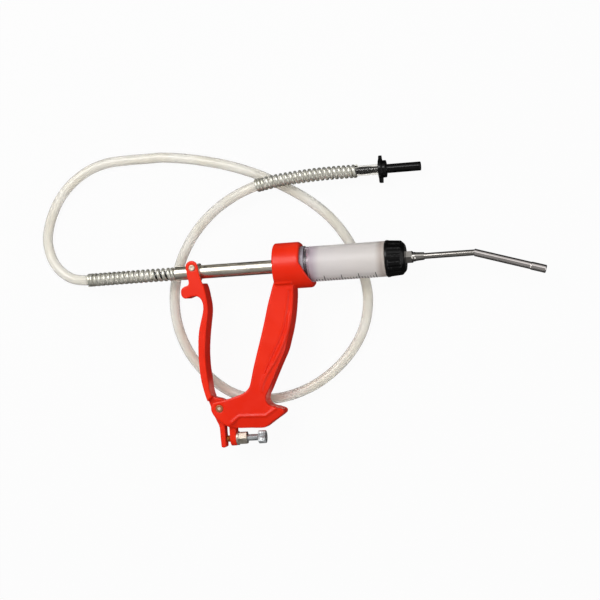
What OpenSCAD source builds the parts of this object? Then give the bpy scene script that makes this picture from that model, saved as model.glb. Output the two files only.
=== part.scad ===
// Livestock drencher: a hand-squeezed dosing gun with a hollow plunger, fed by a hose.
// The gun lies on its side. X runs along the barrel to the spout, Y runs up the handle
// and Z stands out of the gun's side. Sizes are millimetres.

/* [Barrel and plunger] */
// Largest dose in millilitres, which sets the stroke
dose_ml = 30; // [20:1:34]
// Bore of the barrel
barrel_bore = 26; // [25:0.5:28]
// Wall of the barrel
barrel_wall = 1.9; // [1.6:0.1:2.2]
// Length of the neck that the cap screws on
neck_len = 10.7; // [9:0.1:12]
// How much the neck is turned down
neck_step = 1.3; // [0.8:0.1:1.4]
// Width of the bright ring round the barrel's rear end
ring_len = 3.2; // [2:0.1:4.5]
// Empty barrel behind the piston at rest
rear_room = 10.5; // [8:0.5:13]
// Spare barrel ahead of the piston at full stroke
front_room = 6.3; // [5:0.1:9]
// Length of the piston
piston_len = 8; // [7:0.5:10]
// Thickness of the piston's sealing ring
seal_wire = 2.4; // [2:0.1:3]
// Outside diameter of the hollow plunger rod
rod_d = 11.5; // [10.5:0.1:12]
// Bore of the plunger rod
rod_bore = 6.5; // [6:0.1:7]
// How far the rod stands out behind the push pin
rod_tail = 16.8; // [12:0.1:20]
// Diameter of the two collars that the lever pushes on
push_collar_d = 15; // [14.5:0.1:15.5]
// Thickness of each push collar
push_collar_t = 1.7; // [1.2:0.1:2.4]

/* [Handle] */
// Radius of the collar that holds the barrel
collar_r = 19.6; // [18.5:0.1:21]
// Length of the collar
collar_len = 23; // [21:0.5:26]
// Thickness of the collar's rear wall
collar_wall = 12; // [10:0.5:13]
// How far the lip reaches forward under the barrel
lip_reach = 9.5; // [6:0.5:12]
// Half of the casting's thickness
grip_half = 11.5; // [10.5:0.1:13]
// Distance of the lever's pivot behind the collar's rear face
pivot_back = 54.5; // [52:0.5:57]
// Distance of the lever's pivot below the barrel's axis
pivot_drop = 116.4; // [114:0.1:119]
// Length of the lug that holds the dose screw, along the screw
lug_len = 5.4; // [4:0.1:6]
// Radius of the lug
lug_r = 6.2; // [5.2:0.1:7]

/* [Lever] */
// Half of the lever's thickness
lever_half = 10; // [9.8:0.1:11]
// Distance of the lever's ear from the gun's middle plane
ear_z = 7.8; // [7.8:0.1:8.2]
// Half of the tongue that turns between the handle's cheeks
tongue_half = 5.6; // [4.6:0.1:6.4]
// Diameter of the pivot pin
pivot_pin_d = 5.6; // [4.5:0.1:6.5]
// Diameter of the pin that pushes the plunger
push_pin_d = 5; // [4:0.1:5.4]
// Distance of the push pin behind the pivot
pin_back = 16; // [14:0.1:18]
// Height of the push pin above the barrel's axis at rest
pin_rise = 3.8; // [2:0.1:4.2]

/* [Dose screw] */
// Diameter of the dose screw
screw_d = 5.8; // [5:0.1:6.5]
// Depth of the screw below the pivot
screw_drop = 26.6; // [25.5:0.1:28]
// Length of the screw, from its tip to its head
screw_len = 27.5; // [25:0.5:31]
// Diameter of the knurled head
screw_head_d = 11; // [9:0.5:13]
// Length of the knurled head
screw_head_len = 6.5; // [5:0.5:8]
// Width across the flats of the lock nut
nut_flats = 10; // [9:0.1:11]
// Thickness of the lock nut
nut_t = 7.4; // [5:0.1:8]
// Thickness of the washer
washer_t = 1.4; // [1:0.1:2]

/* [Front cap and nozzle] */
// Outside diameter of the ribbed cap
cap_d = 31.2; // [30.4:0.2:33]
// Thickness of the cap's end wall
cap_wall = 4.5; // [3.5:0.1:6]
// Number of grip grooves round the cap
cap_grooves = 18; // [12:1:24]
// Width across the flats of the nozzle's hexagon
hex_flats = 9.8; // [9.2:0.1:12]
// Length of the hexagon
hex_len = 6.2; // [5:0.1:8]
// Length of the taper ahead of the hexagon
ferrule_len = 9.2; // [7:0.1:12]
// Diameter of the straight nozzle tube
tube_d = 5; // [4.6:0.1:5.4]
// Bore of the nozzle
nozzle_bore = 3.2; // [2.6:0.1:3.4]
// Length of the straight tube that shows
tube_len = 42; // [35:1:55]
// Diameter of the bent spout
spout_d = 6.2; // [5.8:0.1:7]
// Length of the spout from the bend to the tip
spout_len = 60.5; // [50:0.5:75]
// Angle of the spout, in degrees
spout_bend = 17.2; // [5:0.1:30]
// Diameter of the sleeve on the spout's tip
tip_d = 6.8; // [6.4:0.1:7.6]
// Length of the sleeve
tip_len = 13; // [10:0.5:18]
// Bore of the sleeve
tip_bore = 4; // [3.6:0.1:4.4]

/* [Hose] */
// Outside diameter of the hose
hose_d = 8.6; // [8:0.1:8.8]
// Bore of the hose
hose_bore = 5.9; // [5.4:0.1:6.2]
// Wire of the spring guards on the hose
guard_wire = 1.5; // [1.2:0.1:1.7]
// Turns of each spring guard
guard_turns = 18; // [14:1:20]
// Turns of wire on the guard at the connector
front_guard_turns = 20; // [12:1:24]
// Length of hose that each fitting holds
hose_grip = 20; // [14:1:22]
// Diameter of the connector's flange
flange_d = 18; // [16:0.2:20]
// Reach of the flange's two lugs from its middle
flange_lug = 11.6; // [10.4:0.1:13]
// Diameter of the connector's spigot
spigot_d = 7.7; // [6.5:0.1:9]
// Length of the connector's spigot
spigot_len = 29.2; // [24:0.2:34]

/* [Clearances] */
// Gap round parts that slide or turn
run_gap = 0.05; // [0.03:0.01:0.08]
// Gap round parts that are seated
seat_gap = 0.03; // [0.02:0.01:0.05]
// Gap between parts that pass each other freely
free_gap = 0.3; // [0.25:0.05:0.5]

/* [Hidden] */
$fn = 64;

// Places along the barrel's axis, with zero in the collar
stroke = dose_ml * 1000 / (PI * barrel_bore * barrel_bore / 4);
barrel_r = barrel_bore / 2 + barrel_wall;
gasket_t = 1;
collar_rear_x = -21;
collar_front_x = collar_rear_x + collar_len;
seat_x = collar_rear_x + collar_wall;
barrel_rear_x = seat_x + gasket_t;
piston_rear_x = barrel_rear_x + rear_room;
piston_front_x = piston_rear_x + piston_len;
neck_x = piston_front_x + stroke + front_room;
barrel_front_x = neck_x + neck_len;
cap_seal_t = 1.5;
cap_inner_x = barrel_front_x + cap_seal_t;
cap_front_x = cap_inner_x + cap_wall;
neck_r = barrel_r - neck_step;
bush_r = rod_d / 2 + 2.8;
piston_gap = 0.15;

// Nozzle
hex_x = cap_front_x + hex_len;
ferrule_x = hex_x + ferrule_len;
socket_len = 6.4;
bend_x = ferrule_x + tube_len;
nozzle_thread_r = 4;
chamber_r = 2.7;
lip_t = 1.5;
lip_r = 1.5;
chamber_end_x = hex_x - 0.8;
tip_spigot_len = 6;
tip_spigot_d = tip_bore + 1;

// Valves
valve_t = 2;
valve_stem_d = 2;
valve_wire = 0.5;
inlet_stem_len = 17;
piston_nut_t = 5;
piston_nut_flats = 11.5;
rod_thread_d = 9;

// Lever pivot and push pin
pivot = [collar_rear_x - pivot_back, -pivot_drop];
push_pin = [pivot[0] - pin_back, pin_rise];
push_room = 0.8;
rod_rear_x = push_pin[0] - rod_tail;
slot_half = tongue_half + free_gap;
boss_r = 7.8;
ear_root_y = -(push_collar_d / 2 + 2.3);
tongue_r = 12;
pin_head = 0.9;
pin_lip = 0.4;

// Dose screw, which stops the lever's tail
screw_y = pivot[1] - screw_drop;
tail_front = 2.2;
tail_x = pivot[0] + tail_front;
screw_tip_x = tail_x + free_gap;
lug_x = tail_x + 3.9;
washer_x = lug_x + lug_len;
nut_x = washer_x + washer_t;
screw_head_x = screw_tip_x + screw_len;
tail_len = 33.9;

// Height of the barrel's axis above the surface that the hose lies on
floor_z = -23.2;
// Flat that the hose rests on
hose_flat = hose_d / 10;
hose_r = hose_d / 2;
lie_z = floor_z + hose_r - hose_flat;
hose_sides = 12;
nipple_r = hose_bore / 2 - run_gap;
guard_rings = 8;
guard_sides = 6;
guard_r = (hose_r + guard_wire / 2 + 0.15) / cos(180 / guard_rings);
flange_t = 3;
boss_d = 14.7;
boss_len = 3.4;
connector_z = floor_z + flange_d / 2 + free_gap;

// Row frame: the middle of the gun's box
nipple_rear_x = rod_rear_x - hose_grip;
spout_tip_x = bend_x + spout_len * cos(spout_bend) + tip_d / 2 * sin(spout_bend);
mid_x = (nipple_rear_x + spout_tip_x) / 2;
mid_y = (collar_r + pivot[1] - tail_len) / 2;

// Outline of the handle, counter-clockwise from the back of the collar
handle_outline = concat(
    [[-18, -8], [-22, -14.2], [-25, -22.6], [-28, -31.5], [-32, -45.8], [-36.6, -60.7], [-40.3, -72.1]],
    [for (p = [
        [31.3, 31.9], [27.6, 18.5], [24.9, 14.4], [20.7, 11.4], [13, 9], [5, 6.9], [-1, 6], [-5.6, 4.9],
        [-7.6, 0], [-5, -6.5], [0.8, -12], [7.4, -16.5], [14, -17.6], [25, -18], [36.4, -18.5],
        [40.6, -16.4], [46.4, -12.5], [52.5, -8.7], [55, -6.4], [54.5, -3.8], [51.5, -2.4], [43.8, 0.1],
        [40.7, 3.5], [40.8, 8.4], [42.8, 12.2], [47.3, 21.2]
    ]) pivot + p],
    [[-22.1, -83.1], [-16.1, -71.5], [-13.1, -62.5], [-10.5, -54], [-7.7, -42], [-5.9, -30], [-5.1, -20],
        [-6.1, -10]]
);

// Groove in both faces of the grip, along the front edge of its raised panel
groove_t = 2.4;
groove_depth = 1.3;
groove_line = [
    [-9.4, -20.5], [-10, -27.5], [-12, -37.5], [-15.8, -52.5], [-20.6, -62.5], [-25.8, -72], [-31.2, -82],
    [-35.8, -91], [-38.8, -98.5], [-40.2, -104.5]
];

// Top line of the slope on both faces of the base, from the clevis to the spur
slope_line = [pivot + [9.2, -13.1], pivot + [16.7, -7.4], pivot + [39.7, -8.2], pivot + [49.4, -1.9]];
slope_fall = 4;
slope_reach = 11;
slope_end = 60;
// Bead across both faces where the collar meets the grip
bead_r = 1.2;
bead_y = -14.2;
bead_z = sqrt(pow(collar_r, 2) - pow(bead_y, 2)) - 0.5;
bead_len = 15.4;

// Outline of the lever, counter-clockwise from the top of its ear
lever_outline = concat(
    [for (p = [
        [-0.3, 6.2], [-4, 4.7], [-5.6, 1.1], [-4.7, -6.9], [-3.7, -12.2], [-4.8, -14.5], [-7.9, -15.4],
        [-10.6, -17.7], [-11, -21.4], [-9.8, -24.4], [-7.2, -25.7], [-3, -24.4], [1.7, -24.1], [6, -27.1],
        [7.4, -35.7]
    ]) push_pin + p],
    [for (p = [
        [-13.5, 67], [-15.2, 52.5], [-15.5, 38.1], [-14.4, 23.6], [-11.9, 11.7], [-9.6, 4.2], [-7.2, -4],
        [-4.4, -11], [-2.4, -16.7], [-2, -31.4], [-1.3, -33.2], [0.1, -tail_len], [1.5, -33.2],
        [tail_front, -31.4], [tail_front, -16], [3.4, -9], [6.2, -2], [5.6, 4], [1.6, 7.6], [-3.6, 9.2],
        [-6.7, 11], [-8, 16.8], [-8.4, 22.2], [-9.6, 37], [-9.2, 51.5], [-7.3, 66.2]
    ]) pivot + p],
    [for (p = [
        [11.6, -36.4], [10.8, -25.8], [9.4, -17.3], [7.2, -10.7], [5.8, -5], [5, 1.1], [3.4, 4.7]
    ]) push_pin + p]
);

// Route of the hose inside the rear guard, out of the back of the rod
tail_route = [
    [rod_rear_x - 0.2, 0, 0], [-129.5, 0, 0], [-143, 0, -0.8], [-157.5, 0, -2.8], [-173, 0, -6],
    [-189, 0, -10]
];
// Route down to the surface and round to the loop
bend_route = [
    [-189.3, 0, -10.1], [-191.7, 0, -10.7], [-203.5, 2.1, -13.5], [-214, 8.2, -15.9], [-221.8, 17.5, -18],
    [-226, 28.9, -19.4], [-226.6, 41, lie_z], [-222.5, 55.8, lie_z], [-214, 72, lie_z],
    [-201.7, 85.4, lie_z], [-186.3, 95.3, lie_z], [-168.9, 100.7, lie_z], [-151, 101.8, lie_z],
    [-134, 101.8, lie_z], [-127.2, 101.8, lie_z]
];
// Route round the loop, over itself and into the connector
loop_route = [
    [-126.9, 101.8, lie_z], [-120, 101.8, lie_z], [-107, 100.4, lie_z], [-88.4, 97.2, lie_z],
    [-62.4, 90.6, lie_z], [-36.5, 80.9, lie_z], [-12.9, 68.4, lie_z], [7.6, 54.9, lie_z],
    [24.9, 39.1, lie_z],
    [37.5, 21.5, lie_z], [46.1, 2.9, lie_z], [51.4, -15.5, lie_z], [52.8, -34, lie_z], [48.6, -54, lie_z],
    [39.1, -71.5, lie_z], [24.9, -87.1, lie_z], [6.5, -100.3, lie_z], [-12.9, -108.5, lie_z],
    [-31.4, -112.1, lie_z], [-51, -111.3, lie_z], [-70.7, -105, lie_z], [-89.4, -90.6, lie_z],
    [-104.1, -71.7, lie_z], [-112.5, -52.4, lie_z], [-116, -33.1, lie_z], [-115, -12.7, lie_z],
    [-108.9, 8.7, lie_z], [-98.8, 27.4, lie_z], [-85.5, 43, -18.4], [-69.5, 55.2, -14.8],
    [-52.2, 64.1, -11.2], [-34.3, 70.2, -9]
];
flange_x = 70.5;
connector_y = 76;
guard_route = [
    [-34.3, 70.2, -9], [-16.8, 72.9, -8.4], [0.4, 74.5, -9], [17.4, 75.6, -10.4], [34.4, 76, -12.6],
    [51.4, connector_y, connector_z], [flange_x, connector_y, connector_z]
];
front_guard_end = 5;

// Shared shapes

// Moves a piece from the barrel's axis to the part's frame
module placed() {
    translate([-mid_x, -mid_y, 0])
        children();
}

// Round bar along X
module bar_x(r, x0, x1) {
    translate([x0, 0, 0])
        rotate([0, 90, 0])
            cylinder(r = r, h = x1 - x0);
}

// Six-sided bar along X
module hex_x_bar(flats, x0, x1) {
    translate([x0, 0, 0])
        rotate([0, 90, 0])
            cylinder(d = flats / cos(30), h = x1 - x0, $fn = 6);
}

// Shape turned about X from a list of [x, radius]
module turned_x(profile) {
    rotate([0, 90, 0])
        rotate_extrude()
            polygon([for (p = profile) [p[1], p[0]]]);
}

// Round bar across the gun, along Z
module bar_z(r, place, z0, z1) {
    translate([place[0], place[1], z0])
        cylinder(r = r, h = z1 - z0);
}

// Block that reaches from corner a to corner b
module block(a, b) {
    translate(a)
        cube(b - a);
}

function unit(v) = v / norm(v);

// Smooth curve between b and c, with a before and d after
function curve(a, b, c, d, t) = 0.5 * (2 * b + (c - a) * t
    + (2 * a - 5 * b + 4 * c - d) * t * t + (3 * b - a - 3 * c + d) * t * t * t);

// Point at u along an open route, where u counts the route's points
function route_point(p, u) =
    let (n = len(p) - 1, i = min(floor(u), n - 1))
    let (before = i > 0 ? p[i - 1] : 2 * p[0] - p[1])
    let (after = i + 2 <= n ? p[i + 2] : 2 * p[n] - p[n - 1])
    curve(before, p[i], p[i + 1], after, u - i);

// Direction of the route at u
function route_way(p, u) =
    let (n = len(p) - 1, step = 0.02)
    unit(route_point(p, min(u + step, n)) - route_point(p, max(u - step, 0)));

// Level and upright directions across a route
function across(way) = unit(cross([0, 0, 1], way));

// Closed curve through the points of an outline
function outline_curve(p, steps) =
    let (n = len(p))
    [for (i = [0:n - 1], k = [0:steps - 1])
        curve(p[(i + n - 1) % n], p[i], p[(i + 1) % n], p[(i + 2) % n], k / steps)];

// Triangles between ring j and the next, for rings of n points
function band(n, j, first, turn) = [for (i = [0:n - 1])
    let (a = first + j * n + i, b = first + j * n + (i + 1) % n)
    each turn > 0 ? [[a, a + n, b + n], [a, b + n, b]] : [[a, b + n, a + n], [a, b, b + n]]];

// Casting: a smooth outline of the given half thickness
module casting(outline, half) {
    linear_extrude(height = 2 * half, center = true)
        polygon(outline_curve(outline, 3));
}

// Hose swept along a route, with its bore and with a flat underneath
module hose(route) {
    n = hose_sides;
    count = len(route) - 1;
    bore = hose_bore / 2 / cos(180 / n);
    angles = [for (i = [0:n - 1]) 360 * i / n];
    frames = [for (k = [0:count])
        let (way = route_way(route, k), side = across(way))
        [route[k], side, cross(way, side)]];
    outer = [for (f = frames, a = angles)
        f[0] + f[1] * hose_r * cos(a) + f[2] * max(hose_r * sin(a), hose_flat - hose_r)];
    inner = [for (f = frames, a = angles) f[0] + (f[1] * cos(a) + f[2] * sin(a)) * bore];
    far = count * n;
    in = len(outer);
    ends = [for (i = [0:n - 1])
        let (j = (i + 1) % n)
        each [[i, j, in + j], [i, in + j, in + i],
            [far + i, in + far + j, far + j], [far + i, in + far + i, in + far + j]]];
    polyhedron(concat(outer, inner), concat(
        [for (k = [0:count - 1]) each band(n, k, 0, 1)],
        [for (k = [0:count - 1]) each band(n, k, in, -1)],
        ends
    ));
}

// Wire wound round a route as one unbroken spring with straight ends
module spring(name, route, last, radius, wire, turns) {
    n = guard_sides;
    count = turns * guard_rings;
    coil = [for (k = [0:count])
        let (u = last * k / count, way = route_way(route, u), side = across(way))
        let (up = cross(way, side), a = 360 * k / guard_rings)
        route_point(route, u) + radius * (side * cos(a) + up * sin(a))];
    middle = [for (k = [0:count]) route_point(route, last * k / count)];
    gap = min([for (k = [0:count - guard_rings]) norm(coil[k + guard_rings] - coil[k])]) - wire;
    echo(str(name, " least gap between turns: ", gap, " mm"));
    line = concat(
        [coil[0] - wire * unit(coil[1] - coil[0])],
        coil,
        [coil[count] + wire * unit(coil[count] - coil[count - 1])]
    );
    m = count + 2;
    points = [for (k = [0:m])
        let (way = unit(line[min(k + 1, m)] - line[max(k - 1, 0)]))
        let (out = coil[min(max(k - 1, 0), count)] - middle[min(max(k - 1, 0), count)])
        let (side = unit(out - way * (out * way)), up = cross(way, side))
        for (i = [0:n - 1]) line[k] + wire / 2 * (side * cos(360 * i / n) + up * sin(360 * i / n))];
    polyhedron(points, concat(
        [[for (i = [0:n - 1]) i]],
        [for (k = [0:m - 1]) each band(n, k, 0, 1)],
        [[for (i = [n - 1:-1:0]) m * n + i]]
    ));
}

// Handle and its fixed parts

// Wedge that slopes down on the right of the line from a to b, off the face of the casting
module slope(a, b, reach, fall) {
    spare = 40;
    translate([a[0], a[1], grip_half])
        rotate([0, 0, atan2(b[1] - a[1], b[0] - a[0])])
            translate([-spare, 0, 0])
                rotate([90, 0, 90])
                    linear_extrude(height = norm(b - a) + 2 * spare)
                        polygon([[0, 0], [-reach, -fall], [-reach, grip_half], [0, grip_half]]);
}

// What is cut off a face of the casting: the base's slope and the panel's groove
module face_cuts() {
    right_side = [for (i = [len(groove_line) - 1:-1:0]) groove_line[i] + [groove_t, -groove_t / 4]];
    intersection() {
        slope(slope_line[0], slope_line[1], slope_end, slope_end);
        union() {
            slope(slope_line[1], slope_line[2], slope_reach, slope_fall);
            slope(slope_line[2], slope_line[3], slope_reach, slope_fall);
        }
    }
    translate([0, 0, grip_half - groove_depth])
        linear_extrude(height = grip_half)
            polygon(concat(groove_line, right_side));
}

// The grip with its clevis, slot and pin hole
module grip() {
    difference() {
        casting(handle_outline, grip_half);
        for (side = [0, 1])
            mirror([0, 0, side])
                face_cuts();
        bar_z(pivot_pin_d / 2 + seat_gap, pivot, -2 * grip_half, 2 * grip_half);
        bar_z(boss_r + 1, pivot, -slot_half, slot_half);
        block([pivot[0] - tail_len, pivot[1] - tail_len, -slot_half], [lug_x - 0.8, pivot[1], slot_half]);
        block(
            [pivot[0] - tail_len, pivot[1] - 1, -slot_half],
            [pivot[0] + 6, pivot[1] + tail_len, slot_half]
        );
    }
}

// The collar round the barrel, with the lip that reaches forward under it
module collar() {
    lip_x = collar_front_x + lip_reach;
    round_r = 2.5;
    intersection() {
        turned_x([
            [collar_rear_x, 0], [collar_rear_x, collar_r - 1], [collar_rear_x + 1, collar_r],
            [lip_x, collar_r], [lip_x, 0]
        ]);
        linear_extrude(height = 3 * collar_r, center = true)
            polygon([
                [collar_rear_x - 1, collar_r + 1], [collar_front_x - round_r, collar_r + 1],
                [collar_front_x, collar_r - round_r], [collar_front_x, 2], [lip_x, -collar_r + 3.6],
                [lip_x - 2, -collar_r - 1], [collar_rear_x - 1, -collar_r - 1]
            ]);
    }
}

module handle() {
    color("orangered")
    placed()
    difference() {
        union() {
            grip();
            collar();
            for (z = [-bead_z, bead_z])
                translate([0, bead_y, z])
                    bar_x(bead_r, collar_rear_x + 0.6, collar_rear_x + bead_len);
            translate([0, screw_y, 0])
                bar_x(lug_r, lug_x, washer_x);
            block([lug_x, screw_y, -lug_r], [washer_x, pivot[1] - 12, lug_r]);
        }
        bar_x(barrel_r + seat_gap, seat_x, collar_front_x + lip_reach + 1);
        bar_x(bush_r + seat_gap, collar_rear_x - 5, seat_x + 1);
        translate([0, screw_y, 0])
            bar_x(screw_d / 2 + run_gap, lug_x - 1, washer_x + 1);
    }
}

module rod_bush() {
    color("darkgoldenrod")
    placed()
    difference() {
        bar_x(bush_r, collar_rear_x - 1.5, seat_x - 0.5);
        bar_x(rod_d / 2 + run_gap, collar_rear_x - 2, seat_x);
    }
}

module barrel() {
    color("lavenderblush", 0.5)
    placed()
    difference() {
        union() {
            bar_x(barrel_r, barrel_rear_x, neck_x);
            bar_x(neck_r, neck_x - 1, barrel_front_x);
        }
        bar_x(barrel_bore / 2, barrel_rear_x - 1, barrel_front_x + 1);
    }
}

module barrel_ring() {
    ring_wall = 0.8;
    color("silver")
    placed()
    difference() {
        bar_x(barrel_r + ring_wall, collar_front_x, collar_front_x + ring_len);
        bar_x(barrel_r + seat_gap, collar_front_x - 1, collar_front_x + ring_len + 1);
        translate([collar_front_x, 2, 0])
            lip_room(barrel_r + ring_wall);
    }
}

// Space that the collar's lip takes out of the ring round the barrel
module lip_room(r) {
    slope = lip_reach / (collar_r - 1.6);
    linear_extrude(height = 4 * r, center = true)
        polygon([
            [-1, free_gap], [0, free_gap], [2 * r * slope, free_gap - 2 * r], [-1, free_gap - 2 * r]
        ]);
}

module barrel_gasket() {
    color("dimgray")
    placed()
    difference() {
        bar_x(barrel_r, seat_x, barrel_rear_x);
        bar_x(bush_r + 1, seat_x - 1, barrel_rear_x + 1);
    }
}

// Lever

// The lever's casting, cut away beside its ear so that the plunger can pass
module blank() {
    room = 20;
    difference() {
        casting(lever_outline, lever_half);
        block(
            [push_pin[0] - room, ear_root_y, -2 * lever_half],
            [push_pin[0] + room, pin_rise + room, ear_z]
        );
    }
}

module lever() {
    far = 2 * lever_half;
    color("orangered")
    placed()
    difference() {
        blank();
        for (side = [0, 1])
            mirror([0, 0, side])
                translate([0, 0, tongue_half]) {
                    bar_z(tongue_r, pivot, 0, far);
                    block([pivot[0] - far, pivot[1] - 2 * far, 0], [pivot[0] + far, pivot[1], far]);
                }
        bar_z(pivot_pin_d / 2 + run_gap, pivot, -far, far);
        bar_z(push_pin_d / 2 + seat_gap, push_pin, 0, far);
    }
}

module lever_pivot_pin() {
    color("silver")
    placed() {
        bar_z(pivot_pin_d / 2, pivot, -grip_half, grip_half);
        for (side = [0, 1])
            mirror([0, 0, side])
                bar_z(pivot_pin_d / 2 + pin_lip, pivot, grip_half, grip_half + pin_head);
    }
}

module lever_push_pin() {
    color("silver")
    placed() {
        bar_z(push_pin_d / 2, push_pin, rod_d / 2 + free_gap, lever_half);
        bar_z(push_pin_d / 2 + pin_lip, push_pin, lever_half, lever_half + pin_head);
    }
}

// Plunger: the hollow rod, its collars, piston and valve

module plunger_rod() {
    color("gainsboro")
    placed()
    difference() {
        union() {
            bar_x(rod_d / 2, rod_rear_x, piston_rear_x);
            bar_x(rod_thread_d / 2, piston_rear_x - 1, piston_front_x + piston_nut_t - 0.6);
        }
        bar_x(rod_bore / 2, rod_rear_x - 1, piston_front_x + piston_nut_t);
    }
}

module push_collars() {
    reach = push_pin_d / 2 + push_room;
    color("silver")
    placed()
    for (x = [push_pin[0] - reach - push_collar_t, push_pin[0] + reach])
        difference() {
            bar_x(push_collar_d / 2, x, x + push_collar_t);
            bar_x(rod_d / 2 + seat_gap, x - 1, x + push_collar_t + 1);
        }
}

module piston() {
    r = barrel_bore / 2 - piston_gap;
    mid = piston_rear_x + piston_len / 2;
    color("whitesmoke")
    placed()
    difference() {
        bar_x(r, piston_rear_x, piston_front_x);
        difference() {
            bar_x(r + 1, mid - seal_wire / 2 - 0.1, mid + seal_wire / 2 + 0.1);
            bar_x(barrel_bore / 2 - run_gap - seal_wire - 0.05, piston_rear_x, piston_front_x);
        }
        bar_x(rod_thread_d / 2 + seat_gap, piston_rear_x - 1, piston_front_x + 1);
    }
}

module piston_seal() {
    color("black")
    placed()
    translate([piston_rear_x + piston_len / 2, 0, 0])
        rotate([0, 90, 0])
            rotate_extrude()
                translate([barrel_bore / 2 - run_gap - seal_wire / 2, 0])
                    circle(d = seal_wire);
}

module piston_nut() {
    hub = piston_front_x + piston_nut_t;
    color("darkkhaki")
    placed()
    difference() {
        hex_x_bar(piston_nut_flats, piston_front_x, hub + 1.2);
        bar_x(rod_thread_d / 2 + seat_gap, piston_front_x - 1, hub - 0.5);
        bar_x(valve_stem_d / 2 + run_gap, hub - 1, hub + 2);
        for (a = [0:120:240])
            rotate([a, 0, 0])
                translate([0, 2.4, 0])
                    bar_x(0.8, hub - 1, hub + 2);
    }
}

module inlet_valve() {
    x = piston_front_x + piston_nut_t + 1.2 + seat_gap;
    color("white")
    placed() {
        bar_x(4, x, x + valve_t);
        bar_x(valve_stem_d / 2, x - inlet_stem_len, x + 0.5);
        bar_x(2.8, x - inlet_stem_len - 1, x - inlet_stem_len);
    }
}

module inlet_valve_spring() {
    x = piston_front_x + piston_nut_t + 1.2 - inlet_stem_len;
    wound_x("inlet_valve_spring", x + 0.4, piston_front_x + piston_nut_t - 1, 2.1, valve_wire, 6);
}

// Straight compression spring along X, between two flat seats
module wound_x(name, x0, x1, radius, wire, turns) {
    room = wire / 2 + 0.1;
    color("lightgray")
    placed()
    spring(name, [[x0 + room, 0, 0], [x1 - room, 0, 0]], 1, radius, wire, turns);
}

module return_spring() {
    wire = 1.4;
    wound_x("return_spring", piston_front_x, cap_inner_x, 0.36 * barrel_bore, wire, 9);
}

// Front cap and nozzle

module front_cap() {
    r = cap_d / 2;
    rear = neck_x + free_gap;
    rim_x = rear + 2.2;
    edge_x = cap_front_x - 3.4;
    taper = 1.1;
    rib_depth = 0.5;
    rib_gap = 2;
    color("black")
    placed()
    difference() {
        turned_x([
            [rear, 0], [rear, r - 0.6], [rear + 0.6, r], [rim_x, r], [rim_x + 0.4, r - 0.3],
            [edge_x, r - taper], [cap_front_x - 0.7, r - 3.8], [cap_front_x, r - 4.8], [cap_front_x, 0]
        ]);
        bar_x(neck_r + seat_gap, neck_x, cap_inner_x);
        bar_x(nozzle_thread_r + seat_gap, cap_inner_x - 1, cap_front_x + 1);
        for (i = [1:cap_grooves])
            rotate([360 * i / cap_grooves, 0, 0])
                linear_extrude(height = rib_gap, center = true)
                    polygon([
                        [rim_x + 0.6, r - 0.3 - rib_depth], [edge_x, r - taper - rib_depth],
                        [cap_front_x + 1, r - taper - rib_depth], [cap_front_x + 1, r + 1],
                        [rim_x + 0.6, r + 1]
                    ]);
    }
}

module cap_seal() {
    color("dimgray")
    placed()
    difference() {
        bar_x(neck_r - 0.2, barrel_front_x, cap_inner_x);
        bar_x(barrel_bore / 2 - 1, barrel_front_x - 1, cap_inner_x + 1);
    }
}

module nozzle_base() {
    color("silver")
    placed()
    difference() {
        union() {
            bar_x(nozzle_thread_r, cap_inner_x, cap_front_x + 1);
            intersection() {
                hex_x_bar(hex_flats, cap_front_x, hex_x);
                turned_x([
                    [cap_front_x, 0], [cap_front_x, hex_flats], [hex_x - 1.8, hex_flats / 2 + 1.2],
                    [hex_x, hex_flats / 2 - 0.6], [hex_x, 0]
                ]);
            }
            turned_x([
                [hex_x - 1, 0], [hex_x - 1, 4], [hex_x + 1.4, 4], [hex_x + 2.2, 3.7],
                [ferrule_x, tube_d / 2 + 0.7], [ferrule_x, 0]
            ]);
        }
        bar_x(lip_r, cap_inner_x - 1, cap_inner_x + lip_t + 1);
        bar_x(chamber_r, cap_inner_x + lip_t, chamber_end_x);
        bar_x(nozzle_bore / 2, chamber_end_x - 1, ferrule_x + 1);
        bar_x(tube_d / 2 + seat_gap, ferrule_x - socket_len, ferrule_x + 1);
    }
}

// Half of space on the outlet side of the bend's mitre, or on the other side
module past_bend(side) {
    reach = 40;
    translate([bend_x, 0, 0])
        rotate([0, 0, -spout_bend / 2])
            translate([side > 0 ? 0 : -reach, -reach / 2, -reach / 2])
                cube(reach);
}

module nozzle_tube() {
    color("silver")
    placed()
    difference() {
        bar_x(tube_d / 2, ferrule_x - socket_len, bend_x + tube_d);
        bar_x(nozzle_bore / 2, ferrule_x - socket_len - 1, bend_x + 2 * tube_d);
        past_bend(1);
    }
}

// Frame of the spout, along X from the bend
module at_spout() {
    translate([bend_x, 0, 0])
        rotate([0, 0, -spout_bend])
            children();
}

module nozzle_spout() {
    color("silver")
    placed()
    difference() {
        at_spout()
            difference() {
                union() {
                    bar_x(spout_d / 2, -spout_d, spout_len - tip_len);
                    bar_x(tip_spigot_d / 2, 0, spout_len - tip_len + tip_spigot_len);
                }
                bar_x(nozzle_bore / 2, -2 * spout_d, spout_len);
            }
        past_bend(-1);
    }
}

module nozzle_tip() {
    rear = spout_len - tip_len;
    color("silver")
    placed()
    at_spout()
        difference() {
            turned_x([
                [rear, 0], [rear, tip_d / 2 - 0.3], [rear + 0.6, tip_d / 2],
                [spout_len - 0.5, tip_d / 2], [spout_len, tip_d / 2 - 0.5], [spout_len, 0]
            ]);
            bar_x(tip_spigot_d / 2 + seat_gap, rear - 1, rear + tip_spigot_len);
            bar_x(tip_bore / 2, rear, spout_len + 1);
        }
}

module outlet_valve() {
    x = cap_inner_x + lip_t + seat_gap;
    color("white")
    placed() {
        bar_x(lip_r + 0.7, x, x + valve_t);
        bar_x(valve_stem_d / 2 - 0.2, x, x + valve_t + 2.5);
    }
}

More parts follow.
